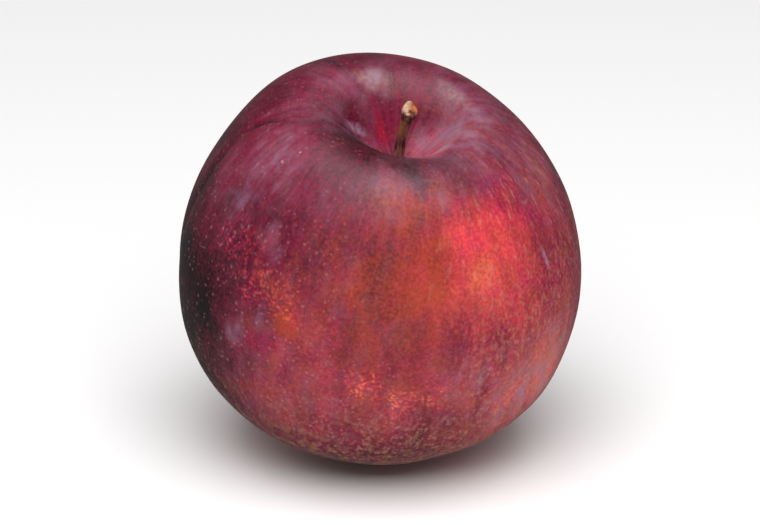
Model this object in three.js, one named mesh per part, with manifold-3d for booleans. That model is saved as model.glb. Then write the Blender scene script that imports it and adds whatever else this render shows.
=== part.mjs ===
// A ripe plum as it rests on a table, with its short woody stem.
// Millimetres, +Z up. The stem end is tipped towards -Y, which is the front of the fruit.
// The origin lies under the middle of the plum, on the surface that it rests on.

import * as THREE from 'three';
import { mergeVertices } from 'three/addons/utils/BufferGeometryUtils.js';
import Module from 'manifold-3d';

const wasm = await Module();
wasm.setup();

const { degToRad, lerp, smoothstep } = THREE.MathUtils;

// Fruit: distance from its centre to the skin, at equal angles from the shoulder end to the tip
const SKIN_RADII = [31.0, 33.0, 31.2, 30.7, 31.5, 30.8, 31.2];
const SIDEWAYS_SPREAD = 0.02;
const LEFT_SHOULDER_RISE = 1.0;
const SHOULDER_RADIUS = 14;
const SHOULDER_SPREAD = 12;
const SHOULDER_FULL_HEIGHT = 24;

// How the fruit lies: its stem cavity points up, a little forwards and to the right,
// and sits to one side of the axis that the flesh is round about
const TILT_FORWARDS = degToRad( 16 );
const LEAN_RIGHT = degToRad( 8 );
const CAVITY_OFF_AXIS = degToRad( 6 );

// Stem cavity, a round-bottomed funnel
const CAVITY_DEPTH = 11.3;
const CAVITY_RADIUS = 7.4;
const CAVITY_ROUNDNESS = 2.0;

// Crease that runs from the cavity down the left side to the tip, in a broad shallow valley
const CREASE_DIRECTION = degToRad( 183 );
const CREASE_DEPTH = 0.35;
const CREASE_HALF_WIDTH = 1.2;
const VALLEY_DEPTH = 0.3;
const VALLEY_HALF_WIDTH = 6;
const CREASE_START_RADIUS = 2;
const CREASE_FULL_RADIUS = 8;
const CREASE_LEFT_AT_TIP = 0.35;
const CREASE_FADE_START = degToRad( 36 );
const CREASE_FADE_END = degToRad( 126 );

// Where the crease leaves the cavity, the cavity's rim is drawn out sideways
const SADDLE_WIDENING = 0.2;
const SADDLE_HALF_ANGLE = 0.5;
const SADDLE_FULL_RADIUS = 4;

// Dimple at the tip, opposite the stem
const TIP_DIMPLE_DEPTH = 0.9;
const TIP_DIMPLE_RADIUS = 3.2;

// Flat spot that the fruit's own weight has pressed
const FLAT_SPOT_PRESS = 0.4;
const FLAT_SPOT_EDGE = 0.1;

// Stem
const STEM_LENGTH = 11.7;
const STEM_RADIUS = 0.8;
const STEM_LEAN = 0.05;
const STEM_BOW = 0.3;
const STEM_GROOVES = 3;
const STEM_GROOVE_DEPTH = 0.06;
const STEM_GROOVE_TURN = 1;
const FOOT_RADIUS = 1.1;
const FOOT_HEIGHT = 1.6;
const FOOT_TAPER = 2.4;
const KNOB_RADIUS = 1.3;
const KNOB_HEIGHT = 2.6;
const KNOB_RIM = 0.35;
const CUP_DEPTH = 0.8;
const CUT_SLOPE = 0.45;
const CUT_FACING = degToRad( - 45 );

// Socket in the flesh that the stem's foot stands in
const SOCKET_DEPTH = 1.4;
const SOCKET_GAP = 0.3;

// Mesh fineness
const FRUIT_COLUMNS = 76;
const FRUIT_RINGS = 56;
const GATHER_AT_ENDS = 0.5;
const GATHER_AT_CREASE = 0.6;
const STEM_COLUMNS = 18;
const STEM_RINGS = 36;
const SOCKET_SIDES = 24;

// A bump that is 1 at nought and fades away past the given width
function bump( distance, width, power = 2 ) {

	return Math.exp( - Math.pow( Math.abs( distance ) / width, power ) );

}

// The angle between -180 and 180 degrees, in radians
function wrapAngle( angle ) {

	return Math.atan2( Math.sin( angle ), Math.cos( angle ) );

}

// Radius of the flesh at an angle from the axis that it is round about
const skinAngles = SKIN_RADII.map( ( radius, i ) => Math.PI * i / ( SKIN_RADII.length - 1 ) );
const skinCurve = new THREE.CubicInterpolant( skinAngles, SKIN_RADII, 1 );
skinCurve.settings = { endingStart: THREE.ZeroSlopeEnding, endingEnd: THREE.ZeroSlopeEnding };

const fleshAxis = new THREE.Vector3( - Math.sin( CAVITY_OFF_AXIS ), 0, Math.cos( CAVITY_OFF_AXIS ) );

// A point of the skin, in the fruit's own frame with +Z out of the stem cavity.
// polar is the angle from the cavity, around is the compass direction about it.
function skinPoint( polar, around ) {

	const direction = new THREE.Vector3(
		Math.sin( polar ) * Math.cos( around ),
		Math.sin( polar ) * Math.sin( around ),
		Math.cos( polar ),
	);
	const body = skinCurve.evaluate( direction.angleTo( fleshAxis ) )[ 0 ];
	const spread = SIDEWAYS_SPREAD * Math.cos( 2 * around ) * Math.sin( polar ) ** 2;
	const point = direction.multiplyScalar( body * ( 1 + spread ) );
	const radius = Math.hypot( point.x, point.y );

	// The left shoulder stands higher than the right one
	const shoulder = bump( radius - SHOULDER_RADIUS, SHOULDER_SPREAD );
	const upwards = smoothstep( point.z, 0, SHOULDER_FULL_HEIGHT );
	point.z -= LEFT_SHOULDER_RISE * shoulder * upwards * point.x / SHOULDER_RADIUS;

	// The crease and its valley are pressed in towards the centre
	const offCrease = wrapAngle( around - CREASE_DIRECTION );
	const acrossCrease = radius * offCrease;
	const towardsTip = smoothstep( polar, CREASE_FADE_START, CREASE_FADE_END );
	const fromCavity = smoothstep( radius, CREASE_START_RADIUS, CREASE_FULL_RADIUS );
	const crease = CREASE_DEPTH * bump( acrossCrease, CREASE_HALF_WIDTH );
	const valley = VALLEY_DEPTH * bump( acrossCrease, VALLEY_HALF_WIDTH );
	const pressedIn = ( crease + valley ) * fromCavity * lerp( 1, CREASE_LEFT_AT_TIP, towardsTip );
	point.setLength( point.length() - pressedIn );

	if ( polar < Math.PI / 2 ) {

		const outside = smoothstep( radius, 0, SADDLE_FULL_RADIUS );
		const saddle = SADDLE_WIDENING * bump( offCrease, SADDLE_HALF_ANGLE ) * outside;
		point.z -= CAVITY_DEPTH * bump( radius * ( 1 - saddle ), CAVITY_RADIUS, CAVITY_ROUNDNESS );

	} else {

		point.z += TIP_DIMPLE_DEPTH * bump( radius, TIP_DIMPLE_RADIUS );

	}

	return point;

}

// The fruit's own frame as it lies on the table, before it is set down
const lying = new THREE.Matrix4().makeRotationY( LEAN_RIGHT );
lying.multiply( new THREE.Matrix4().makeRotationX( TILT_FORWARDS ) );

// A turned half circle whose rings gather at both ends, with its axis along +Z
function makeTurnedBall() {

	const profile = [];

	for ( let i = 0; i <= FRUIT_RINGS; i ++ ) {

		const part = 1 - i / FRUIT_RINGS;
		const gather = GATHER_AT_ENDS * Math.sin( 2 * Math.PI * part ) / 2;
		const polar = Math.PI * part - gather;
		const onAxis = i === 0 || i === FRUIT_RINGS;
		profile.push( new THREE.Vector2( onAxis ? 0 : Math.sin( polar ), Math.cos( polar ) ) );

	}

	return new THREE.LatheGeometry( profile, FRUIT_COLUMNS ).rotateX( Math.PI / 2 );

}

// Moves every corner of a geometry by a function, in place
function reshape( geometry, move ) {

	const position = geometry.getAttribute( 'position' );
	const corner = new THREE.Vector3();

	for ( let i = 0; i < position.count; i ++ ) {

		corner.fromBufferAttribute( position, i );
		position.setXYZ( i, ...move( corner ).toArray() );

	}

	return geometry;

}

function makeFruitSkin() {

	return reshape( makeTurnedBall(), ( corner ) => {

		const polar = Math.acos( THREE.MathUtils.clamp( corner.z, - 1, 1 ) );
		const fromCrease = Math.atan2( corner.y, corner.x );
		const around = CREASE_DIRECTION + fromCrease - GATHER_AT_CREASE * Math.sin( fromCrease );
		return skinPoint( polar, around ).applyMatrix4( lying );

	} );

}

// Lifts what lies under the table into a flat spot with a softly rounded edge
function pressFlat( height ) {

	if ( height <= - FLAT_SPOT_EDGE ) return 0;
	if ( height >= FLAT_SPOT_EDGE ) return height;
	return ( height + FLAT_SPOT_EDGE ) ** 2 / ( 4 * FLAT_SPOT_EDGE );

}

// A closed mesh with shared corners, as a solid that can be cut
function toSolid( geometry ) {

	const bare = geometry.clone();
	bare.deleteAttribute( 'normal' );
	bare.deleteAttribute( 'uv' );
	const merged = mergeVertices( bare, 1e-4 );
	return new wasm.Manifold( new wasm.Mesh( {
		numProp: 3,
		vertProperties: merged.getAttribute( 'position' ).array,
		triVerts: Uint32Array.from( merged.getIndex().array ),
	} ) );

}

function toGeometry( solid ) {

	const mesh = solid.getMesh();
	const geometry = new THREE.BufferGeometry();
	geometry.setAttribute( 'position', new THREE.BufferAttribute( mesh.vertProperties, 3 ) );
	geometry.setIndex( new THREE.BufferAttribute( mesh.triVerts, 1 ) );
	geometry.computeVertexNormals();
	return geometry;

}

// The stem's outline from the middle of its foot up to the bottom of its cup
function stemProfile() {

	const footTop = FOOT_HEIGHT + FOOT_TAPER;
	const knobBase = STEM_LENGTH - KNOB_HEIGHT;
	const rimStart = STEM_LENGTH - KNOB_RIM;
	const cupRadius = KNOB_RADIUS - 2 * KNOB_RIM;
	const outline = new THREE.Path();
	outline.moveTo( 0, 0 );
	outline.lineTo( FOOT_RADIUS, 0 );
	outline.lineTo( FOOT_RADIUS, FOOT_HEIGHT );
	outline.bezierCurveTo(
		FOOT_RADIUS, FOOT_HEIGHT + FOOT_TAPER / 2,
		STEM_RADIUS, FOOT_HEIGHT + FOOT_TAPER / 2,
		STEM_RADIUS, footTop,
	);
	outline.lineTo( STEM_RADIUS, knobBase );
	outline.bezierCurveTo(
		STEM_RADIUS, knobBase + KNOB_HEIGHT / 2,
		KNOB_RADIUS, knobBase + KNOB_HEIGHT / 2,
		KNOB_RADIUS, rimStart,
	);
	outline.absarc( KNOB_RADIUS - KNOB_RIM, rimStart, KNOB_RIM, 0, Math.PI, false );
	outline.quadraticCurveTo( cupRadius, STEM_LENGTH - CUP_DEPTH, 0, STEM_LENGTH - CUP_DEPTH );
	return outline.getSpacedPoints( STEM_RINGS );

}

function makeStem() {

	const turned = new THREE.LatheGeometry( stemProfile(), STEM_COLUMNS ).rotateX( Math.PI / 2 );
	const knobBase = STEM_LENGTH - KNOB_HEIGHT;

	return reshape( turned, ( corner ) => {

		const height = corner.z;
		const around = Math.atan2( corner.y, corner.x );
		const aboveFoot = smoothstep( height, FOOT_HEIGHT, FOOT_HEIGHT + FOOT_TAPER );
		const ridge = Math.cos( STEM_GROOVES * around + STEM_GROOVE_TURN );
		const groove = 1 + STEM_GROOVE_DEPTH * aboveFoot * ridge;
		const slanted = smoothstep( height, knobBase, STEM_LENGTH );
		const towardsCut = corner.x * Math.cos( CUT_FACING ) + corner.y * Math.sin( CUT_FACING );
		const bow = STEM_BOW * Math.sin( Math.PI * height / STEM_LENGTH );
		return new THREE.Vector3(
			corner.x * groove + STEM_LEAN * height - bow,
			corner.y * groove,
			height - CUT_SLOPE * slanted * towardsCut,
		);

	} );

}

// Where the bottom of the cavity lies in the fruit's own frame
const cavityFloor = skinPoint( 0, 0 );
const socketFloor = cavityFloor.z - SOCKET_DEPTH;

function makeSocket() {

	const tall = SOCKET_DEPTH + CAVITY_RADIUS / 2;
	const socket = new THREE.CylinderGeometry( 1, 1, tall, SOCKET_SIDES ).rotateX( Math.PI / 2 );
	socket.scale( FOOT_RADIUS + SOCKET_GAP, FOOT_RADIUS + SOCKET_GAP, 1 );
	return socket.translate( cavityFloor.x, cavityFloor.y, socketFloor + tall / 2 );

}

// The fruit is set down so far that the flat spot is pressed into it
const skin = makeFruitSkin();
skin.computeBoundingBox();
const setDown = - skin.boundingBox.min.z - FLAT_SPOT_PRESS;
skin.translate( 0, 0, setDown );
reshape( skin, ( corner ) => corner.setZ( pressFlat( corner.z ) ) );
skin.computeBoundingBox();
const middle = skin.boundingBox.getCenter( new THREE.Vector3() );

const inPlace = new THREE.Matrix4().makeTranslation( - middle.x, - middle.y, setDown ).multiply( lying );
skin.translate( - middle.x, - middle.y, 0 );

const fruit = new THREE.Mesh(
	toGeometry( toSolid( skin ).subtract( toSolid( makeSocket().applyMatrix4( inPlace ) ) ) ),
	new THREE.MeshStandardMaterial( { color: 0x8e3440, roughness: 0.38, metalness: 0 } ),
);
fruit.name = 'fruit';

const stem = new THREE.Mesh(
	makeStem(),
	new THREE.MeshStandardMaterial( { color: 0x7a5238, roughness: 0.7, metalness: 0 } ),
);
stem.name = 'stem';
stem.position.set( cavityFloor.x, cavityFloor.y, socketFloor + SOCKET_GAP );

const stemPlace = new THREE.Group();
stemPlace.applyMatrix4( inPlace );
stemPlace.add( stem );

const plum = new THREE.Group();
plum.name = 'plum';
plum.add( fruit, stemPlace );

export default plum;
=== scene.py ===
"""A ripe dark-red plum with its short woody stem, modelled and coloured around the frame of its solids.

Metres, +Z up. The front of the fruit is -Y. Lengths on the fruit are written in millimetres and
multiplied by MM. Places on the skin are given as two angles in degrees: polar, down from the stem
cavity, and around, the compass direction about it, with 0 to the right and -90 to the front.
"""

import math

import bpy
import numpy as np
from bpy.props import FloatProperty, FloatVectorProperty, IntProperty, PointerProperty
from mathutils import Euler, Matrix, Vector, noise


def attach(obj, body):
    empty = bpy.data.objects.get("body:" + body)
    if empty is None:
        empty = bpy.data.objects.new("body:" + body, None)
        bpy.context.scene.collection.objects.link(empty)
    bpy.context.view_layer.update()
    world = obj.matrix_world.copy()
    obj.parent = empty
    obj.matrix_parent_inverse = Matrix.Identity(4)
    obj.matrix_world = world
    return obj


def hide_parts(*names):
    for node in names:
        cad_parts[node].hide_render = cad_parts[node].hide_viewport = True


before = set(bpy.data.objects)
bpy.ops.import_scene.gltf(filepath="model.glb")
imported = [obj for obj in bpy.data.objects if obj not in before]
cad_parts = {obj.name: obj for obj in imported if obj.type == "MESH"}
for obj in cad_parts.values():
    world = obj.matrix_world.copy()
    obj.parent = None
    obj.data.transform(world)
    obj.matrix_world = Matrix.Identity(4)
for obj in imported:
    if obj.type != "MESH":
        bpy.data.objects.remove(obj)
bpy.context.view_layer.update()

bl_info = {
    "name": "Plum",
    "version": (1, 0, 0),
    "blender": (4, 5, 0),
    "location": "View3D > Sidebar > Plum",
    "description": "A ripe plum with its stem, on a pale floor in soft light",
    "category": "Object",
}

MM = 0.001

# How the fruit lies: its own frame has +Z out of the stem cavity
FRUIT_CENTRE = Vector((-0.06, -0.20, 30.53)) * MM
FRUIT_TURN = Euler((math.radians(16), math.radians(8), 0))
FRUIT_RADIUS = 31.3
CREASE_AROUND = 183
CAVITY_FLOOR = 17.5
CAVITY_RISE = 0.6
SOCKET_RADIUS = 1.4
FRUIT_PLACE = Matrix.Translation(FRUIT_CENTRE) @ FRUIT_TURN.to_matrix().to_4x4()

# Points of the frame's fruit closer than this, in millimetres, become one
WELD_DISTANCE = 0.002

# The crease's line, in millimetres: how far out from the stem it bends to the front, over what reach and
# how much, and how far out the dent in it lies
BEND_AT = 15.5
BEND_REACH = 7.5
CREASE_BEND = 4.2
PINCH_OUT = 21.3

# How far each seed moves the noise that shapes the fruit and the stem
SEED_STEPS = (17.3, 5.1, 11.7)


def linear(code):
    """An sRGB hex colour as the linear colour that shaders take."""
    parts = [int(code[i:i + 2], 16) / 255 for i in (0, 2, 4)]
    return tuple(c / 12.92 if c <= 0.04045 else ((c + 0.055) / 1.055) ** 2.4 for c in parts)


def colour_property(name, code, description):
    return FloatVectorProperty(
        name=name, description=description, subtype="COLOR", size=3, min=0, max=1, default=linear(code))


def length_property(name, millimetres, description):
    return FloatProperty(
        name=name, description=description, unit="LENGTH", default=millimetres * MM, min=0, precision=5)


def on_skin(polar, around):
    """A place on the fruit, in millimetres in its own frame; the skin dips towards the stem."""
    p, a = math.radians(polar), math.radians(around)
    radius = min(CAVITY_FLOOR + CAVITY_RISE * polar, FRUIT_RADIUS)
    return Vector((math.sin(p) * math.cos(a), math.sin(p) * math.sin(a), math.cos(p))) * radius


def smooth_step(low, high, value):
    t = np.clip((value - low) / (high - low), 0, 1)
    return t * t * (3 - 2 * t)


def select_only(obj):
    bpy.ops.object.select_all(action="DESELECT")
    obj.select_set(True)
    bpy.context.view_layer.objects.active = obj


def points_of(obj):
    co = np.zeros(len(obj.data.vertices) * 3)
    obj.data.vertices.foreach_get("co", co)
    return co.reshape(-1, 3)


def normals_of(obj):
    co = np.zeros(len(obj.data.vertices) * 3)
    obj.data.vertices.foreach_get("normal", co)
    return co.reshape(-1, 3)


def move_points(obj, points):
    obj.data.vertices.foreach_set("co", np.asarray(points, dtype=np.float32).ravel())
    obj.data.update()


def to_fruit_frame(points):
    """World points in metres as millimetres in the fruit's own frame."""
    back = np.array(FRUIT_PLACE.inverted())
    return (points @ back[:3, :3].T + back[:3, 3]) / MM


def noise_at(points, size, seed):
    """Smooth noise about 0 for each point; size is its feature in the points' unit."""
    shift = Vector([seed * step for step in SEED_STEPS])
    return np.array([noise.noise(Vector(p) / size + shift) for p in points])


def apply_subdivision(obj, levels):
    modifier = obj.modifiers.new("smooth skin", "SUBSURF")
    modifier.levels = levels
    modifier.render_levels = levels
    bpy.ops.object.modifier_apply(modifier=modifier.name)


def add(tree, kind, inputs, **settings):
    """Adds a shader node and gives its outputs. Each input is a value or the socket that feeds it, in a
    list by order or in a dict by name or number."""
    node = tree.nodes.new("ShaderNode" + kind)
    for name, value in settings.items():
        setattr(node, name, value)
    for name, value in inputs.items() if isinstance(inputs, dict) else enumerate(inputs):
        if isinstance(value, bpy.types.NodeSocket):
            tree.links.new(value, node.inputs[name])
        else:
            node.inputs[name].default_value = value
    return node.outputs


# Settings that nodes share, and the places of a colour mix among the sockets of its node
SMOOTH = {"interpolation_type": "SMOOTHSTEP"}
OF_COLOUR = {"data_type": "RGBA"}
FACTOR, COLOUR_A, COLOUR_B, COLOUR = 0, 6, 7, 2


def new_material(name):
    material = bpy.data.materials.new(name)
    material.use_nodes = True
    material.node_tree.nodes.clear()
    return material, material.node_tree


class FruitSettings(bpy.types.PropertyGroup):
    """Sizes and colours of the plum's skin."""

    unevenness: length_property("Unevenness", 0.28, "Height of the slow swells of the flesh")
    crease_depth: length_property("Crease depth", 0.12, "Depth of the fine line along the crease")
    pinch_depth: length_property("Pinch depth", 0.45, "Depth of the dent in the crease on the shoulder")
    pucker_depth: length_property("Pucker depth", 0.08, "Depth of the radial folds about the stem")
    subdivisions: IntProperty(
        name="Subdivisions", description="Fineness of the skin", default=2, min=0, max=2)
    bloom: colour_property("Bloom", "91798F", "Thin wax on the skin")
    tan: colour_property("Tan", "C78D73", "Dots and fine streaks of the skin")
    pink: colour_property("Pink", "C78C90", "Fine dots above and on the left")
    olive: colour_property("Olive", "937C3E", "Unripe mottling near the tip")


# Colours of the skin by how red it is, from 0 to 1, over a green-yellow and over a rose ground
WARM_SKIN = [
    (0.0, "D19945"), (0.18, "E4643A"), (0.38, "AE3E2D"), (0.58, "942E1F"), (0.8, "4E1218"), (1.0, "27050D"),
]
ROSE_SKIN = [
    (0.0, "E18871"), (0.18, "EE4846"), (0.38, "C53146"), (0.58, "860F3A"), (0.8, "650226"), (1.0, "1C040C"),
]

# The skin at large: how red, how warm its ground is and how much bloom lies on it
SKIN_AT_LARGE = (0.80, 0.00, 0.00)

# Patches laid over it in turn: polar, around, radius in millimetres, then red, warm and bloom
PATCHES = {
    "underside": (150, -90, 38, 0.60, 0.80, 0.10),
    # Dark purple skin with painted shade on the far left side
    "far left side": (90, 170, 22, 0.90, 0.05, 0.00),
    "top": (0, 90, 15, 0.70, 0.35, 0.55),
    "right of the dome": (12, -15, 7, 0.55, 0.70, 0.60),
    "right shoulder": (42, -8, 8, 0.60, 0.55, 0.20),
    "right cheek": (86, -12, 15, 0.60, 0.30, 0.00),
    "mauve cheek": (95, -33, 9, 0.25, 0.70, 0.50),
    "left shoulder": (51, -146, 11, 0.70, 0.00, 0.15),
    # Dark purple skin with painted shade on the left cheek and low on the left
    "left cheek": (98, -160, 17, 1.00, 0.00, 0.00),
    "low left": (123, -97, 14, 0.85, 0.00, 0.00),
    "pale spot low on the left": (103, -117, 6, 0.55, 0.45, 0.10),
    "front": (84, -103, 16, 0.55, 0.45, 0.10),
    "dark band": (83, -86, 9, 0.55, 0.60, 0.05),
    "rosy shoulder": (39, -152, 4.5, 0.65, 0.00, 0.35),
    "purple blotch": (61, -131, 8, 0.85, 0.05, 0.00),
    "orange band": (67, -121, 5.5, 0.65, 0.70, 0.05),
    "lower orange band": (76, -119, 2.5, 0.50, 0.95, 0.00),
    "lavender smear": (87, -134, 2, 0.75, 0.10, 0.35),
    "magenta smear": (88, -125, 2, 0.55, 0.00, 0.00),
    "below the lip": (31, -81, 7, 0.45, 1.00, 0.30),
    "warm middle": (54, -84, 11, 0.65, 0.95, 0.05),
    "wide glow": (61, -47, 13, 0.50, 0.35, 0.00),
    "scarlet glow": (52, -55, 7.5, 0.30, 0.30, 0.00),
    "orange glow": (57, -57, 2.5, 0.25, 0.80, 0.05),
    "left of the glow": (53, -76, 5, 0.50, 0.95, 0.00),
    "left of the lip": (22, -122, 5.5, 0.95, 0.45, 0.00),
    "front of the lip": (25, -84, 3.5, 0.90, 0.60, 0.10),
    "right of the lip": (26, -60, 3, 0.85, 0.45, 0.10),
    "cavity": (3, 0, 5, 0.60, 0.00, 0.00),
    "upper wall of the cavity": (14, 85, 6.5, 0.75, 0.25, 0.00),
    # Bloom with a painted sheen on the right wall of the cavity and right of it
    "right wall of the cavity": (10, 5, 3.5, 0.40, 0.00, 0.60),
    "right of the cavity": (15, -58, 3.5, 0.40, 0.00, 0.50),
    "left wall of the cavity": (16, 172, 3, 0.85, 0.00, 0.00),
    "back wall of the cavity": (11, 117, 3, 0.65, 0.00, 0.00),
    # Bloom with a painted highlight on the back of the dome
    "pale dome": (21, 117, 2.5, 0.55, 0.70, 0.65),
    "lavender streak": (55, -152, 3, 0.90, 0.05, 0.20),
    "second lavender streak": (56, -133, 2, 0.70, 0.05, 0.20),
    "pale low cheek": (90, -62, 5, 0.50, 0.40, 0.20),
    "first flame": (89, -92, 2, 0.45, 0.40, 0.10),
    "second flame": (93, -81, 2, 0.45, 0.40, 0.10),
    "third flame": (93, -72, 1.5, 0.50, 0.40, 0.10),
    "behind the dome": (31, 119, 5.5, 0.85, 0.05, 0.00),
    "back blush": (78, 65, 14, 0.60, 0.60, 0.05),
    "back glow": (82, 76, 10, 0.50, 0.65, 0.00),
    "back shade": (72, 138, 15, 0.90, 0.15, 0.10),
    "back bloom": (50, 100, 9, 0.70, 0.10, 0.35),
}

# Radius in millimetres from which the edge of a patch is fully ragged
FULLY_RAGGED = 8

# Shifts of the red: size of the noise in millimetres, its detail, and how far it goes either way
RED_NOISE = [(7, 3.0, 0.05), (0.5, 2.0, 0.07)]

# Painted shade in the crease's line and in the dent in it: how much redder, and so darker, they are made
LINE_PAINTED_SHADE = 0.1
DENT_PAINTED_SHADE = 0.22

# The specks: their spacing in millimetres, and how much less red and how much warmer they are
SPECK_SPACING = 0.7
SPECK_LIGHTER = 0.34
SPECK_WARMER = 0.4

# Places where the red breaks up into bright orange-red specks: polar, around, radius in millimetres
SPECKLED = {
    "left cheek": (65, -143, 4.6),
    "below it": (70, -134, 3.6),
    "orange band": (71, -123, 2.8),
    "first low spots": (89, -92, 2.7),
    "second low spots": (93, -81, 2.7),
    "third low spots": (93, -72, 2.3),
    "back cheek": (84, 88, 4.0),
}

# Small marks, some of them painted highlights: polar, around and lean in degrees, half width and half length
# in millimetres, how strong they are and their colour; a mark that doesn't lean runs down the fruit
MARKS = {
    "scuff on the right": (60, -28, 0, 0.5, 2.0, 0.45, "B08CA4"),
    "first white dot": (34, -144, 0, 0.3, 0.3, 0.5, "E6C3CC"),
    "second white dot": (39, -147, 0, 0.35, 0.35, 0.5, "E6C3CC"),
    # Painted highlights: a glint on the left wall of the cavity and a sheen on its right
    "painted glint in the cavity": (15, 169, 40, 0.6, 2.3, 0.6, "A87C98"),
    "sheen in the cavity": (15, -42, 90, 1.2, 3.4, 0.6, "D08CA4"),
    "red wall of the cavity": (11, 131, 0, 0.8, 2.4, 0.8, "9A0C2C"),
    "dark spot": (54, -142, 0, 1.1, 1.2, 0.6, "561632"),
    "first lavender streak": (53, -151, 10, 1.1, 2.4, 0.25, "94688C"),
    "second lavender streak": (54, -134, 5, 1.1, 1.8, 0.15, "9A6888"),
    "third lavender streak": (59, -128, -20, 0.8, 2.0, 0.2, "9A6888"),
    "streak beside the orange": (79, -127, 0, 1.0, 2.6, 0.35, "705074"),
    "magenta streak": (88, -124, 0, 0.9, 3.0, 0.55, "8E1C50"),
    # Pale bloom with a painted highlight on the back and right of the dome
    "bloom and painted highlight on the dome": (20, 124, 75, 1.5, 3.2, 0.5, "AE8A84"),
    "bloom and painted highlight right of the dome": (20, 48, 85, 1.2, 3.8, 0.45, "AE8A84"),
    "bloom and painted highlight at the end of the dome": (21, 24, 95, 1.0, 2.2, 0.2, "AC8280"),
    "glint below the crease": (38, -168, 60, 0.35, 1.5, 0.45, "B06080"),
    "scuff at the back": (64, 80, 10, 0.4, 2.2, 0.5, "B79DB6"),
}

# How far a mark reaches into the fruit, in millimetres
MARK_DEPTH = 3

# Most that each layer covers of what lies under it: the mottling, the fine pores where they are weakest and
# how much more where they are strongest, the net of pores and flecks, and the streaks
MOTTLE_COVER = 0.42
FINE_COVER = 0.1
FINE_EXTRA = 0.22
NET_COVER = 0.38
STREAK_COVER = 0.35

# Gloss of the skin where it is bare and where the bloom is thick
BARE_ROUGHNESS = 0.46
BLOOM_ROUGHNESS = 0.6


def skin_frame(tree):
    """Millimetres in the fruit's own frame."""
    place = add(tree, "TexCoord", [])["Object"]
    return add(tree, "Mapping", [place, FRUIT_CENTRE, FRUIT_TURN, (MM, MM, MM)], vector_type="TEXTURE")[0]


def wander(tree, place, size, reach):
    """The place, shifted by noise of that feature size, so that round patches get ragged edges."""
    shift = add(tree, "TexNoise", {"Vector": place, "Scale": 1 / size})["Color"]
    centred = add(tree, "VectorMath", [shift, (0.5, 0.5, 0.5)], operation="SUBTRACT")[0]
    return add(tree, "VectorMath", [centred, (2 * reach,) * 3, place], operation="MULTIPLY_ADD")[0]


def skin_polar(tree, place):
    """The polar angle in radians, and the unit vector of the compass direction about the stem."""
    parts = add(tree, "SeparateXYZ", [place])
    flat = add(tree, "CombineXYZ", [parts["X"], parts["Y"]])[0]
    radius = add(tree, "VectorMath", [flat], operation="LENGTH")["Value"]
    polar = add(tree, "Math", [radius, parts["Z"]], operation="ARCTAN2")[0]
    compass = add(tree, "VectorMath", [flat], operation="NORMALIZE")[0]
    return polar, compass


def rays(tree, polar, compass, width, length):
    """A place in which noise of size 1 runs out from the stem in rays of that width and length,
    in millimetres where the fruit is widest."""
    spun = add(tree, "VectorMath", {0: compass, "Scale": FRUIT_RADIUS / width}, operation="SCALE")[0]
    height = add(tree, "Math", [polar, FRUIT_RADIUS / length], operation="MULTIPLY")[0]
    lift = add(tree, "CombineXYZ", {"Z": height})[0]
    return add(tree, "VectorMath", [spun, lift], operation="ADD")[0]


def patches(tree, place, ragged):
    """How red, how warm and how bloomed each place is: soft patches with ragged edges."""
    state = (*SKIN_AT_LARGE, 1)
    for polar, around, radius, red, warm, bloom in PATCHES.values():
        away = add(tree, "VectorMath", [place, on_skin(polar, around)], operation="DISTANCE")["Value"]
        raggedness = min(1, radius / FULLY_RAGGED)
        edge = add(tree, "Math", [ragged, raggedness, away], operation="MULTIPLY_ADD")[0]
        mask = add(tree, "MapRange", [edge, 1.7 * radius, 0.3 * radius], **SMOOTH)[0]
        state = add(tree, "Mix", {
            FACTOR: mask, COLOUR_A: state, COLOUR_B: (red, warm, bloom, 1)}, **OF_COLOUR)[COLOUR]
    return add(tree, "SeparateColor", [state])


def speckled(tree, place, ragged):
    """1 on each speck of the speckled places."""
    zone = 0.0
    for polar, around, radius in SPECKLED.values():
        away = add(tree, "VectorMath", [place, on_skin(polar, around)], operation="DISTANCE")["Value"]
        edge = add(tree, "Math", [away, ragged], operation="ADD")[0]
        mask = add(tree, "MapRange", [edge, 1.6 * radius, 0.5 * radius], **SMOOTH)[0]
        zone = add(tree, "Math", [zone, mask], operation="MAXIMUM")[0]
    uneven = wander(tree, place, 0.9, 0.4)
    cells = add(tree, "TexVoronoi", {"Vector": uneven, "Scale": 1 / SPECK_SPACING})["Distance"]
    specks = add(tree, "MapRange", [cells, 0.7, 0.2], **SMOOTH)[0]
    thinning = add(tree, "TexNoise", {"Vector": place, "Scale": 1 / 1.8})["Fac"]
    clumps = add(tree, "MapRange", [thinning, 0.35, 0.6, 0.45, 1.0], **SMOOTH)[0]
    amount = add(tree, "Math", [zone, clumps], operation="MULTIPLY")[0]
    return add(tree, "Math", [amount, specks], operation="MULTIPLY")[0]


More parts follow.
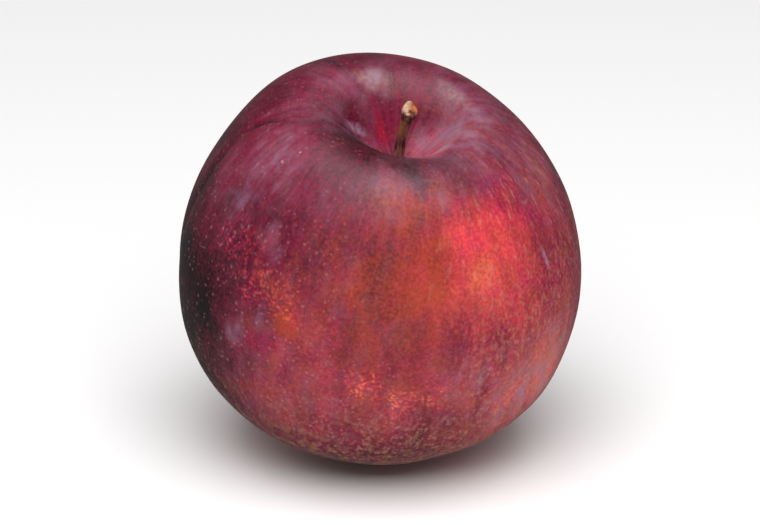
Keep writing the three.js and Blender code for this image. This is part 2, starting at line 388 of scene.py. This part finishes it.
def crease_line(tree, place):
    """1 along the fine line at the bottom of the crease, and 1 in the dent on the shoulder: the masks of
    painted shade.
    """
    across, along = (Vector((math.cos(math.radians(a)), math.sin(math.radians(a)), 0))
                     for a in (CREASE_AROUND + 90, CREASE_AROUND))
    wobbly = wander(tree, place, 4, 0.3)
    aside = add(tree, "VectorMath", [wobbly, across], operation="DOT_PRODUCT")["Value"]
    out = add(tree, "VectorMath", [place, along], operation="DOT_PRODUCT")["Value"]
    from_bend = add(tree, "Math", [out, BEND_AT], operation="SUBTRACT")[0]
    from_bend = add(tree, "Math", [from_bend], operation="ABSOLUTE")[0]
    bend = add(tree, "MapRange", [from_bend, BEND_REACH, 0.0, 0.0, CREASE_BEND], **SMOOTH)[0]
    aside = add(tree, "Math", [aside, bend], operation="SUBTRACT")[0]
    aside = add(tree, "Math", [aside], operation="ABSOLUTE")[0]
    line = add(tree, "MapRange", [aside, 0.8, 0.1], **SMOOTH)[0]
    for low, high in ((5.0, 8.0), (24.0, 20.0)):
        stretch = add(tree, "MapRange", [out, low, high], **SMOOTH)[0]
        line = add(tree, "Math", [line, stretch], operation="MULTIPLY")[0]
    from_pinch = add(tree, "Math", [out, PINCH_OUT], operation="SUBTRACT")[0]
    from_pinch = add(tree, "Math", [from_pinch], operation="ABSOLUTE")[0]
    pinch = add(tree, "MapRange", [from_pinch, 2.2, 0.6], **SMOOTH)[0]
    return line, add(tree, "Math", [line, pinch], operation="MULTIPLY")[0]


def marks(tree, place, colour):
    """The colour with the small marks laid over it, broken up by their own fine noise."""
    cloud = add(tree, "TexNoise", {"Vector": place, "Scale": 1 / 0.9, "Detail": 3.0})["Fac"]
    broken = add(tree, "MapRange", [cloud, 0.35, 0.65, 0.45, 1.2], **SMOOTH)[0]
    for polar, around, lean, width, length, strength, code in MARKS.values():
        turn = [Matrix.Rotation(math.radians(angle), 3, axis) for angle, axis in
                ((around, "Z"), (polar, "Y"), (lean, "Z"))]
        turn = (turn[0] @ turn[1] @ turn[2]).to_euler()
        size = (length, width, MARK_DEPTH)
        local = add(tree, "Mapping", [place, on_skin(polar, around), turn, size], vector_type="TEXTURE")[0]
        away = add(tree, "VectorMath", [local], operation="LENGTH")["Value"]
        mask = add(tree, "MapRange", [away, 1.4, 0.4, 0.0, strength], **SMOOTH)[0]
        mask = add(tree, "Math", [mask, broken], operation="MULTIPLY")[0]
        colour = add(tree, "Mix", {
            FACTOR: mask, COLOUR_A: colour, COLOUR_B: (*linear(code), 1)}, **OF_COLOUR)[COLOUR]
    return colour


def skin_ramp(tree, red, stops):
    colour = add(tree, "ValToRGB", [red])["Color"]
    elements = colour.node.color_ramp.elements
    while len(elements) < len(stops):
        elements.new(0.5)
    for element, (position, code) in zip(elements, stops):
        element.position = position
        element.color = (*linear(code), 1)
    return colour


def pores(tree, place, spacing, size, share):
    """Small soft dots of mixed sizes, one in that share of the cells; spacing and size are in the unit of
    the place."""
    cells = add(tree, "TexVoronoi", {"Vector": place, "Scale": 1 / spacing})
    chance = add(tree, "SeparateColor", [cells["Color"]])
    largest = size / spacing
    reach = add(tree, "Math", [chance[1], 0.6 * largest, 0.4 * largest], operation="MULTIPLY_ADD")[0]
    inside = add(tree, "Math", [cells["Distance"], reach], operation="DIVIDE")[0]
    dot = add(tree, "MapRange", [inside, 1.25, 0.1], **SMOOTH)[0]
    present = add(tree, "Math", [chance[0], share], operation="LESS_THAN")[0]
    return add(tree, "Math", [dot, present], operation="MULTIPLY")[0]


def plum_skin(settings):
    """Plum skin: smooth waxed cuticle over stippled red flesh, satin, with a thin pale bloom, pores as
    pale dots and fine pale streaks that run out from the stem."""
    material, tree = new_material("plum_skin_waxed")
    place = skin_frame(tree)
    polar, compass = skin_polar(tree, place)
    rightwards = add(tree, "SeparateXYZ", [compass])["X"]

    # Patches: their outlines wander, run in tongues away from the stem and break up into specks
    tongues = add(tree, "TexNoise", {"Vector": rays(tree, polar, compass, 2.8, 12), "Scale": 1.0})["Fac"]
    cells = add(tree, "TexVoronoi", {"Vector": place, "Scale": 1 / 0.75})["Distance"]
    ragged = add(tree, "Math", [cells, 1.6, -2.3], operation="MULTIPLY_ADD")[0]
    ragged = add(tree, "Math", [tongues, 3.0, ragged], operation="MULTIPLY_ADD")[0]
    red, warm, bloom = patches(tree, wander(tree, place, 9, 2.5), ragged)

    # Shifts of the red and of the warm ground
    for size, detail, reach in RED_NOISE:
        cloud = add(tree, "TexNoise", {"Vector": place, "Scale": 1 / size, "Detail": detail})["Fac"]
        shift = add(tree, "MapRange", [cloud, 0.3, 0.7, -reach, reach], **SMOOTH)[0]
        red = add(tree, "Math", [red, shift], operation="ADD")[0]
    shift = add(tree, "MapRange", [tongues, 0.3, 0.7, -0.04, 0.04], **SMOOTH)[0]
    red = add(tree, "Math", [red, shift], operation="ADD")[0]
    cloud = add(tree, "TexNoise", {"Vector": place, "Scale": 1 / 4, "Detail": 3.0})["Fac"]
    shift = add(tree, "MapRange", [cloud, 0.3, 0.7, -0.3, 0.3], **SMOOTH)[0]
    warm = add(tree, "Math", [warm, shift], operation="ADD")[0]

    specks = speckled(tree, wander(tree, place, 5, 1.5), ragged)
    red = add(tree, "Math", [specks, -SPECK_LIGHTER, red], operation="MULTIPLY_ADD")[0]
    warm = add(tree, "Math", [specks, SPECK_WARMER, warm], operation="MULTIPLY_ADD")[0]
    # Painted shade along the crease's line and in its dent
    line, pinch = crease_line(tree, place)
    red = add(tree, "Math", [line, LINE_PAINTED_SHADE, red], operation="MULTIPLY_ADD")[0]
    red = add(tree, "Math", [pinch, DENT_PAINTED_SHADE, red], operation="MULTIPLY_ADD")[0]
    rose, ground = skin_ramp(tree, red, ROSE_SKIN), skin_ramp(tree, red, WARM_SKIN)
    colour = add(tree, "Mix", {FACTOR: warm, COLOUR_A: rose, COLOUR_B: ground}, **OF_COLOUR)[COLOUR]

    colour = marks(tree, wander(tree, place, 1.2, 0.3), colour)

    # Olive mottling that thickens towards the tip
    cloud = add(tree, "TexNoise", {"Vector": place, "Scale": 1 / 1.5, "Detail": 3.0})["Fac"]
    mottle = add(tree, "MapRange", [cloud, 0.45, 0.7], **SMOOTH)[0]
    tip = add(tree, "MapRange", [polar, math.radians(100), math.radians(130), 0.0, MOTTLE_COVER], **SMOOTH)[0]
    mottle = add(tree, "Math", [mottle, tip], operation="MULTIPLY")[0]
    colour = add(tree, "Mix", {
        FACTOR: mottle, COLOUR_A: colour, COLOUR_B: (*settings.olive, 1)}, **OF_COLOUR)[COLOUR]

    # Bloom in smudges, smeared away from the stem except in the cavity
    cloud = add(tree, "TexNoise", {"Vector": place, "Scale": 1 / 3, "Detail": 4.0})["Fac"]
    smudge = add(tree, "MapRange", [cloud, 0.3, 0.7, 0.35, 1.3], **SMOOTH)[0]
    bloom = add(tree, "Math", [bloom, smudge], operation="MULTIPLY")[0]
    cloud = add(tree, "TexNoise", {"Vector": rays(tree, polar, compass, 1.5, 6), "Scale": 1.0})["Fac"]
    least = add(tree, "MapRange", [polar, math.radians(25), math.radians(40), 0.9, 0.5], **SMOOTH)[0]
    most = add(tree, "MapRange", [polar, math.radians(25), math.radians(40), 1.1, 1.5], **SMOOTH)[0]
    smear = add(tree, "MapRange", [cloud, 0.3, 0.7, least, most], **SMOOTH)[0]
    bloom = add(tree, "Math", [bloom, smear], operation="MULTIPLY")[0]
    colour = add(tree, "Mix", {
        FACTOR: bloom, COLOUR_A: colour, COLOUR_B: (*settings.bloom, 1)}, **OF_COLOUR)[COLOUR]

    # Pores are pink above and on the left, and tan on the right and towards the tip
    on_right = add(tree, "MapRange", [rightwards, 0.2, 0.7], **SMOOTH)[0]
    below = add(tree, "MapRange", [polar, math.radians(85), math.radians(112)], **SMOOTH)[0]
    tan_share = add(tree, "Math", [on_right, below], operation="MAXIMUM")[0]
    dot_colour = add(tree, "Mix", {
        FACTOR: tan_share, COLOUR_A: (*settings.pink, 1), COLOUR_B: (*settings.tan, 1)}, **OF_COLOUR)[COLOUR]

    # Fine ones all over, and a net of more on the right cheek, low on the left and towards the tip
    on_left = add(tree, "MapRange", [rightwards, 0.0, -0.5], **SMOOTH)[0]
    low = add(tree, "MapRange", [polar, math.radians(75), math.radians(95)], **SMOOTH)[0]
    strength = add(tree, "Math", [on_left, low], operation="MAXIMUM")[0]
    strength = add(tree, "Math", [strength, FINE_EXTRA, FINE_COVER], operation="MULTIPLY_ADD")[0]
    lower = add(tree, "MapRange", [polar, math.radians(35), math.radians(70), 0.4, 1.0], **SMOOTH)[0]
    strength = add(tree, "Math", [strength, lower], operation="MULTIPLY")[0]
    fine = add(tree, "Math", [pores(tree, place, 0.95, 0.34, 0.8), strength], operation="MULTIPLY")[0]
    cheek = add(tree, "MapRange", [polar, math.radians(45), math.radians(80)], **SMOOTH)[0]
    cheek = add(tree, "Math", [cheek, on_right], operation="MULTIPLY")[0]
    shy = add(tree, "MapRange", [rightwards, -0.8, 0.1, 0.25, 1.0], **SMOOTH)[0]
    below = add(tree, "Math", [below, shy], operation="MULTIPLY")[0]
    net = add(tree, "Math", [cheek, below], operation="MAXIMUM")[0]
    net = add(tree, "Math", [net, NET_COVER], operation="MULTIPLY")[0]
    long_cells = rays(tree, polar, compass, 0.75, 1.05)
    close = add(tree, "Math", [pores(tree, long_cells, 1.0, 0.5, 0.75), net], operation="MULTIPLY")[0]
    cloud = add(tree, "TexNoise", {"Vector": long_cells, "Scale": 1.0, "Detail": 1.0})["Fac"]
    flecks = add(tree, "MapRange", [cloud, 0.42, 0.86], **SMOOTH)[0]
    flecks = add(tree, "Math", [flecks, net], operation="MULTIPLY")[0]
    for dots in (fine, close, flecks):
        colour = add(tree, "Mix", {
            FACTOR: dots, COLOUR_A: colour, COLOUR_B: dot_colour}, **OF_COLOUR)[COLOUR]

    # Fine streaks on the shoulders, most on the right
    cloud = add(tree, "TexNoise", {"Vector": rays(tree, polar, compass, 0.9, 2.2), "Scale": 1.0})["Fac"]
    streaks = add(tree, "MapRange", [cloud, 0.55, 0.75, 0.0, STREAK_COVER], **SMOOTH)[0]
    for without, full in ((82, 50), (16, 40)):
        stretch = add(tree, "MapRange", [polar, math.radians(without), math.radians(full)], **SMOOTH)[0]
        streaks = add(tree, "Math", [streaks, stretch], operation="MULTIPLY")[0]
    stretch = add(tree, "MapRange", [rightwards, 0.0, 0.8, 0.2, 1.0], **SMOOTH)[0]
    streaks = add(tree, "Math", [streaks, stretch], operation="MULTIPLY")[0]
    colour = add(tree, "Mix", {
        FACTOR: streaks, COLOUR_A: colour, COLOUR_B: (*settings.tan, 1)}, **OF_COLOUR)[COLOUR]

    roughness = add(tree, "MapRange", [bloom, 0.0, 0.6, BARE_ROUGHNESS, BLOOM_ROUGHNESS], **SMOOTH)[0]
    peel = add(tree, "TexNoise", {"Vector": place, "Scale": 1 / 0.5})["Fac"]
    height = add(tree, "Math", [streaks, 1.4, peel], operation="MULTIPLY_ADD")[0]
    bump = add(tree, "Bump", {"Height": height, "Distance": 0.02 * MM, "Strength": 1.0})[0]
    shader = add(tree, "BsdfPrincipled", {
        "Base Color": colour, "Roughness": roughness, "Normal": bump, "IOR": 1.36})
    add(tree, "OutputMaterial", {"Surface": shader[0]})
    return material


def weld_frame_fruit():
    """The frame's fruit as a skin of four-sided faces, with the foot's socket closed."""
    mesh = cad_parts["fruit"].data.copy()
    skin = bpy.data.objects.new("plum_fruit", mesh)
    bpy.context.scene.collection.objects.link(skin)
    mesh.materials.clear()
    select_only(skin)
    bpy.ops.object.mode_set(mode="EDIT")
    bpy.ops.mesh.select_all(action="SELECT")
    bpy.ops.mesh.remove_doubles(threshold=WELD_DISTANCE * MM)
    bpy.ops.mesh.select_all(action="DESELECT")
    bpy.ops.object.mode_set(mode="OBJECT")
    local = to_fruit_frame(points_of(skin))
    in_socket = (np.hypot(local[:, 0], local[:, 1]) < 1.05 * SOCKET_RADIUS) & (local[:, 2] > 0)
    for face in mesh.polygons:
        face.select = all(in_socket[i] for i in face.vertices)
    bpy.ops.object.mode_set(mode="EDIT")
    bpy.ops.mesh.delete(type="FACE")
    bpy.ops.mesh.select_non_manifold()
    bpy.ops.mesh.edge_face_add()
    bpy.ops.mesh.poke()
    bpy.ops.mesh.select_all(action="SELECT")
    bpy.ops.mesh.tris_convert_to_quads(face_threshold=math.radians(50), shape_threshold=math.radians(60))
    bpy.ops.object.mode_set(mode="OBJECT")
    return skin


def relief(skin, settings):
    """Slow swells, the fine line of the crease and the puckers about the stem, as real shape."""
    points = points_of(skin)
    local = to_fruit_frame(points)
    radius = np.hypot(local[:, 0], local[:, 1])
    around = np.arctan2(local[:, 1], local[:, 0])
    polar = np.arctan2(radius, local[:, 2])
    upper = local[:, 2] > 0

    swell = noise_at(local, 11, 1) * settings.unevenness
    clear_of_floor = smooth_step(0, 4 * MM, points[:, 2])

    off_crease = np.angle(np.exp(1j * (around - math.radians(CREASE_AROUND))))
    bend = CREASE_BEND * smooth_step(BEND_REACH, 0, np.abs(radius - BEND_AT)) * upper
    across = radius * off_crease + 0.3 * noise_at(local, 5, 2) - bend
    line = np.exp(-(across / 0.5) ** 2) * smooth_step(5, 9, radius)
    line *= 1 - 0.8 * smooth_step(math.radians(50), math.radians(100), polar)
    line *= np.where(np.abs(off_crease) < 1, 1, 0)
    pinch = line * np.exp(-((radius - PINCH_OUT) / 1.6) ** 2) * upper

    folds = noise_at(np.stack([6 * np.cos(around), 6 * np.sin(around), 0.12 * radius], 1), 1, 3)
    puckers = folds * smooth_step(1, 2.5, radius) * (1 - smooth_step(5, 9, radius)) * upper

    push = swell * clear_of_floor - line * settings.crease_depth + puckers * 2 * settings.pucker_depth
    push -= pinch * settings.pinch_depth
    move_points(skin, points + normals_of(skin) * push[:, None])


class PLUM_OT_fruit(bpy.types.Operator):
    """Models the fruit over the frame's solid and gives it its skin"""

    bl_idname = "plum.fruit"
    bl_label = "Fruit"

    def execute(self, context):
        settings = context.scene.plum_fruit
        skin = weld_frame_fruit()
        apply_subdivision(skin, settings.subdivisions)
        relief(skin, settings)
        bpy.ops.object.shade_smooth()
        skin.data.materials.append(plum_skin(settings))
        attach(skin, "root")
        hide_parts("fruit")
        return {"FINISHED"}


class StemSettings(bpy.types.PropertyGroup):
    """Sizes and colours of the stem."""

    length: length_property("Length", 11.7, "From the underside of the foot to the rim of the knob")
    radius: length_property("Radius", 0.8, "Half the thickness of the stem's middle")
    knob_radius: length_property("Knob radius", 1.3, "Half the width of the thickened end")
    foot_radius: length_property("Foot radius", 1.1, "Half the width of the foot in the flesh")
    groove_depth: length_property("Groove depth", 0.06, "Depth of the lengthwise grooves in the bark")
    lumps: length_property("Lumps", 0.22, "Height of the lumps at the torn end")
    dark: colour_property("Dark bark", "3A0F14", "Grooves of the bark")
    brown: colour_property("Brown bark", "86584C", "Ridges of the bark")
    # Golden on the left below the knob: partly dry bark, partly painted light from the left
    light: colour_property("Golden bark", "94603A", "Dry bark and painted light on the left, most below the knob")
    cut: colour_property("Torn wood", "BE977C", "Left side of the torn end")
    rust: colour_property("Rust", "B0662F", "Right side of the torn end")
    hollow: colour_property("Hollow", "5E2814", "Hollow of the torn end")
    subdivisions: IntProperty(
        name="Subdivisions", description="Fineness of the bark", default=3, min=0, max=3)


# The stem's line: where its foot starts above the fruit's centre and how far it bows, in millimetres, and
# how far it leans to the right for each millimetre of height
FOOT_BOTTOM = 18.8
STEM_BOW = 0.3
STEM_LEAN = 0.05
STEM_SIDES = 16

# The torn end: how it is turned, and in millimetres the width of its rim and of the slope inside that, and
# how deep it is sunk
CUT_FORWARDS = math.radians(-10)
CUT_TO_RIGHT = math.radians(-22)
RIM_WIDTH = 0.45
SLOPE_WIDTH = 0.3
CUP_DEPTH = 0.15

# From the middle of the end, in millimetres: the peak of the torn wood and the hollow beside it
PEAK_PLACE = Vector((-0.25, 0.55, 0.0))
PEAK_HEIGHT = 0.75
HOLLOW_PLACE = Vector((0.3, -0.55, -0.2))

# Stations up the stem: share of its length, and its half width as a share from the middle's to the knob's
STATIONS = [
    (0.12, 0.55), (0.2, 0.3), (0.3, 0.08), (0.4, 0.0), (0.5, 0.02), (0.6, 0.0), (0.7, 0.05),
    (0.78, 0.15), (0.85, 0.45), (0.91, 0.85), (0.96, 1.0), (1.0, 0.85),
]


def stem_axis(share, settings):
    """Centre of the stem at a share of its length, in world metres."""
    height = share * settings.length / MM
    bow = STEM_BOW * math.sin(math.pi * share)
    return FRUIT_PLACE @ (Vector((STEM_LEAN * height - bow, 0, FOOT_BOTTOM + height)) * MM)


def model_stem(settings):
    """A ring pulled up the stem's line station by station, widened into the knob, then sunk into a cup."""
    start = stem_axis(0, settings)
    bpy.ops.object.select_all(action="DESELECT")
    bpy.ops.mesh.primitive_circle_add(
        vertices=STEM_SIDES, radius=settings.foot_radius, fill_type="NGON",
        location=start, rotation=FRUIT_TURN)
    stem = bpy.context.object
    stem.name = "plum_stem"
    bpy.ops.object.transform_apply()
    bpy.ops.object.mode_set(mode="EDIT")
    bpy.ops.mesh.select_all(action="SELECT")
    bpy.ops.mesh.flip_normals()
    width, centre = settings.foot_radius, start
    for share, swell in STATIONS:
        wanted = settings.radius + swell * (settings.knob_radius - settings.radius)
        target = stem_axis(share, settings)
        bpy.ops.mesh.extrude_region_move(TRANSFORM_OT_translate={"value": target - centre})
        bpy.ops.transform.resize(value=(wanted / width,) * 3, center_override=target)
        width, centre = wanted, target
    bpy.ops.transform.rotate(value=CUT_FORWARDS, orient_axis="X", center_override=centre)
    bpy.ops.transform.rotate(value=CUT_TO_RIGHT, orient_axis="Y", center_override=centre)
    up = FRUIT_TURN.to_matrix() @ Vector((0, 0, 1))
    bpy.ops.mesh.inset(thickness=RIM_WIDTH * MM)
    bpy.ops.mesh.inset(thickness=SLOPE_WIDTH * MM)
    bpy.ops.transform.translate(value=-CUP_DEPTH * MM * up)
    bpy.ops.mesh.select_all(action="SELECT")
    bpy.ops.mesh.normals_make_consistent(inside=False)
    bpy.ops.object.mode_set(mode="OBJECT")
    return stem


def stem_bark(settings):
    """Woody plum stem: dry fibrous bark, ridged lengthwise, matt, golden on the left under the knob, where
    the gold is partly painted light, with a torn end that is pale on the left, orange-brown on the right and
    dark in its hollow."""
    material, tree = new_material("stem_bark_dry")
    place = skin_frame(tree)
    stretched = add(tree, "VectorMath", [place, (1.0, 1.0, 0.22)], operation="MULTIPLY")[0]
    fibre = add(tree, "TexNoise", {"Vector": stretched, "Scale": 1 / 0.5, "Detail": 3.0})["Fac"]
    ridges = add(tree, "MapRange", [fibre, 0.38, 0.66], **SMOOTH)[0]
    colour = add(tree, "Mix", {
        FACTOR: ridges, COLOUR_A: (*settings.dark, 1), COLOUR_B: (*settings.brown, 1)}, **OF_COLOUR)[COLOUR]

    # Sideways and lengthwise from the middle of the stem's end
    end = Vector((STEM_LEAN * settings.length / MM, 0, FOOT_BOTTOM + settings.length / MM))
    from_end = add(tree, "VectorMath", [place, end], operation="SUBTRACT")[0]
    parts = add(tree, "SeparateXYZ", [from_end])
    sideways = add(tree, "Math", [parts["Z"], -STEM_LEAN, parts["X"]], operation="MULTIPLY_ADD")[0]
    # Painted light from the left, with dry golden bark, below the knob
    left = add(tree, "MapRange", [sideways, 0.2, -0.7, 0.0, 0.85], **SMOOTH)[0]
    for low, high in ((-6.0, -4.0), (-1.3, -2.2)):
        stretch = add(tree, "MapRange", [parts["Z"], low, high], **SMOOTH)[0]
        left = add(tree, "Math", [left, stretch], operation="MULTIPLY")[0]
    colour = add(tree, "Mix", {
        FACTOR: left, COLOUR_A: colour, COLOUR_B: (*settings.light, 1)}, **OF_COLOUR)[COLOUR]

    # The torn end
    to_right = add(tree, "MapRange", [sideways, -0.4, 0.3], **SMOOTH)[0]
    torn = add(tree, "Mix", {
        FACTOR: to_right, COLOUR_A: (*settings.cut, 1), COLOUR_B: (*settings.rust, 1)}, **OF_COLOUR)[COLOUR]
    rough = add(tree, "TexNoise", {"Vector": place, "Scale": 1 / 0.6})["Fac"]
    ragged = add(tree, "Math", [rough, 1.2, parts["Z"]], operation="MULTIPLY_ADD")[0]
    near_end = add(tree, "MapRange", [ragged, 0.0, 0.6], **SMOOTH)[0]
    colour = add(tree, "Mix", {FACTOR: near_end, COLOUR_A: colour, COLOUR_B: torn}, **OF_COLOUR)[COLOUR]
    from_hollow = add(tree, "VectorMath", [from_end, HOLLOW_PLACE], operation="DISTANCE")["Value"]
    from_hollow = add(tree, "Math", [rough, 0.4, from_hollow], operation="MULTIPLY_ADD")[0]
    hollow = add(tree, "MapRange", [from_hollow, 0.95, 0.6], **SMOOTH)[0]
    colour = add(tree, "Mix", {
        FACTOR: hollow, COLOUR_A: colour, COLOUR_B: (*settings.hollow, 1)}, **OF_COLOUR)[COLOUR]

    bump = add(tree, "Bump", {"Height": fibre, "Distance": 0.08 * MM})[0]
    shader = add(tree, "BsdfPrincipled", {
        "Base Color": colour, "Roughness": 0.55, "Normal": bump, "IOR": 1.45})
    add(tree, "OutputMaterial", {"Surface": shader[0]})
    return material


def stem_relief(stem, settings):
    """Lengthwise grooves in the bark and a lumpy, torn end."""
    points = points_of(stem)
    local = to_fruit_frame(points)
    height = local[:, 2] - FOOT_BOTTOM
    length = settings.length / MM
    around = np.arctan2(local[:, 1], local[:, 0] - STEM_LEAN * height)
    grain_place = np.stack([1.3 * np.cos(around), 1.3 * np.sin(around), 0.12 * height], 1)
    grooves = noise_at(grain_place, 0.5, 5) * settings.groove_depth / MM
    near_end = smooth_step(0.68 * length, 0.9 * length, height)
    lumps = noise_at(local, 0.8, 6) * settings.lumps / MM * near_end
    push = (1.5 * grooves + lumps) * MM
    up = np.array(FRUIT_TURN.to_matrix() @ Vector((0, 0, 1)))
    aside = np.hypot(local[:, 0] - STEM_LEAN * height - PEAK_PLACE.x, local[:, 1] - PEAK_PLACE.y)
    peak = PEAK_HEIGHT * MM * np.exp(-(aside / 0.6) ** 2) * smooth_step(length - 1.2, length, height)
    move_points(stem, points + normals_of(stem) * push[:, None] + up * peak[:, None])


class PLUM_OT_stem(bpy.types.Operator):
    """Models the stem up its own line and gives it its bark"""

    bl_idname = "plum.stem"
    bl_label = "Stem"

    def execute(self, context):
        settings = context.scene.plum_stem
        stem = model_stem(settings)
        apply_subdivision(stem, settings.subdivisions)
        stem_relief(stem, settings)
        bpy.ops.object.shade_smooth()
        stem.data.materials.append(stem_bark(settings))
        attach(stem, "root")
        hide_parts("stem")
        return {"FINISHED"}


# Height of the middle of the plum that camera and light aim at, and width of the camera's sensor, in
# millimetres
MIDDLE_HEIGHT = 31
SENSOR_WIDTH = 36


class StageSettings(bpy.types.PropertyGroup):
    """Floor, light and camera."""

    floor_size: length_property("Floor size", 3000, "Side of the pale floor")
    floor_colour: colour_property("Floor", "FAF9F9", "Pale seamless floor")
    camera_height: FloatProperty(
        name="Camera height", description="Angle of the view above the floor", subtype="ANGLE",
        default=math.radians(22))
    camera_distance: length_property("Camera distance", 800, "From the camera to the middle of the plum")
    view_width: length_property("View width", 117.6, "Width of what the picture takes in at the plum")
    light_height: FloatProperty(
        name="Light height", description="Angle of the light above the floor", subtype="ANGLE",
        default=math.radians(62))
    light_aside: FloatProperty(
        name="Light aside", description="Turn of the light from the front to the right", subtype="ANGLE",
        default=0)
    light_distance: length_property("Light distance", 850, "From the light to the middle of the plum")
    light_size: length_property("Light size", 900, "Side of the square light")
    light_power: FloatProperty(name="Light", description="Power of the light in watts", default=11.5)
    air_strength: FloatProperty(
        name="Air", description="Strength of the even light from all round", default=0.2)


class PLUM_OT_stage(bpy.types.Operator):
    """Makes the floor, the soft overhead light and the camera"""

    bl_idname = "plum.stage"
    bl_label = "Stage"

    def execute(self, context):
        settings = context.scene.plum_stage
        bpy.ops.object.select_all(action="DESELECT")
        bpy.ops.mesh.primitive_plane_add(size=settings.floor_size)
        floor = context.object
        floor.name = "floor"
        material, tree = new_material("floor_matt_paper")
        shader = add(tree, "BsdfPrincipled", {
            "Base Color": (*settings.floor_colour, 1), "Roughness": 0.8})
        add(tree, "OutputMaterial", {"Surface": shader[0]})
        floor.data.materials.append(material)

        # Kept out of the skin's gloss, so that the sides of the fruit stay dark against it
        floor.visible_glossy = False

        middle = Vector((0, 0, MIDDLE_HEIGHT * MM))
        up, aside = settings.light_height, settings.light_aside
        towards_light = Vector((
            math.sin(aside) * math.cos(up), -math.cos(aside) * math.cos(up), math.sin(up)))
        place = middle + towards_light * settings.light_distance
        bpy.ops.object.light_add(type="AREA", location=place)
        lamp = context.object
        lamp.name = "soft_light"
        lamp.rotation_euler = (-towards_light).to_track_quat("-Z", "Y").to_euler()
        lamp.data.size = settings.light_size
        lamp.data.energy = settings.light_power

        world = bpy.data.worlds.new("studio_air")
        context.scene.world = world
        world.use_nodes = True
        world.node_tree.nodes["Background"].inputs["Color"].default_value = (1, 1, 1, 1)
        world.node_tree.nodes["Background"].inputs["Strength"].default_value = settings.air_strength

        towards = Vector((0, -math.cos(settings.camera_height), math.sin(settings.camera_height)))
        bpy.ops.object.camera_add(location=middle + towards * settings.camera_distance)
        camera = context.object
        camera.rotation_euler = (-towards).to_track_quat("-Z", "Y").to_euler()
        camera.data.sensor_width = SENSOR_WIDTH
        camera.data.lens = SENSOR_WIDTH * settings.camera_distance / settings.view_width
        context.scene.camera = camera
        context.scene.view_settings.view_transform = "Standard"
        return {"FINISHED"}


class PLUM_PT_panel(bpy.types.Panel):
    """Lists the plum's settings and the steps that make it"""

    bl_idname = "PLUM_PT_panel"
    bl_label = "Plum"
    bl_space_type = "VIEW_3D"
    bl_region_type = "UI"
    bl_category = "Plum"

    def draw(self, context):
        scene = context.scene
        for settings, operator in (
            (scene.plum_fruit, PLUM_OT_fruit), (scene.plum_stem, PLUM_OT_stem),
            (scene.plum_stage, PLUM_OT_stage),
        ):
            box = self.layout.box()
            for name in settings.bl_rna.properties.keys():
                if name not in ("rna_type", "name"):
                    box.prop(settings, name)
            box.operator(operator.bl_idname)


CLASSES = (
    FruitSettings, StemSettings, StageSettings, PLUM_OT_fruit, PLUM_OT_stem, PLUM_OT_stage, PLUM_PT_panel,
)


def register():
    for cls in CLASSES:
        bpy.utils.register_class(cls)
    bpy.types.Scene.plum_fruit = PointerProperty(type=FruitSettings)
    bpy.types.Scene.plum_stem = PointerProperty(type=StemSettings)
    bpy.types.Scene.plum_stage = PointerProperty(type=StageSettings)


def unregister():
    del bpy.types.Scene.plum_fruit, bpy.types.Scene.plum_stem, bpy.types.Scene.plum_stage
    for cls in reversed(CLASSES):
        bpy.utils.unregister_class(cls)


def main():
    register()
    bpy.ops.plum.stage()
    bpy.ops.plum.fruit()
    bpy.ops.plum.stem()


if __name__ == "__main__":
    main()
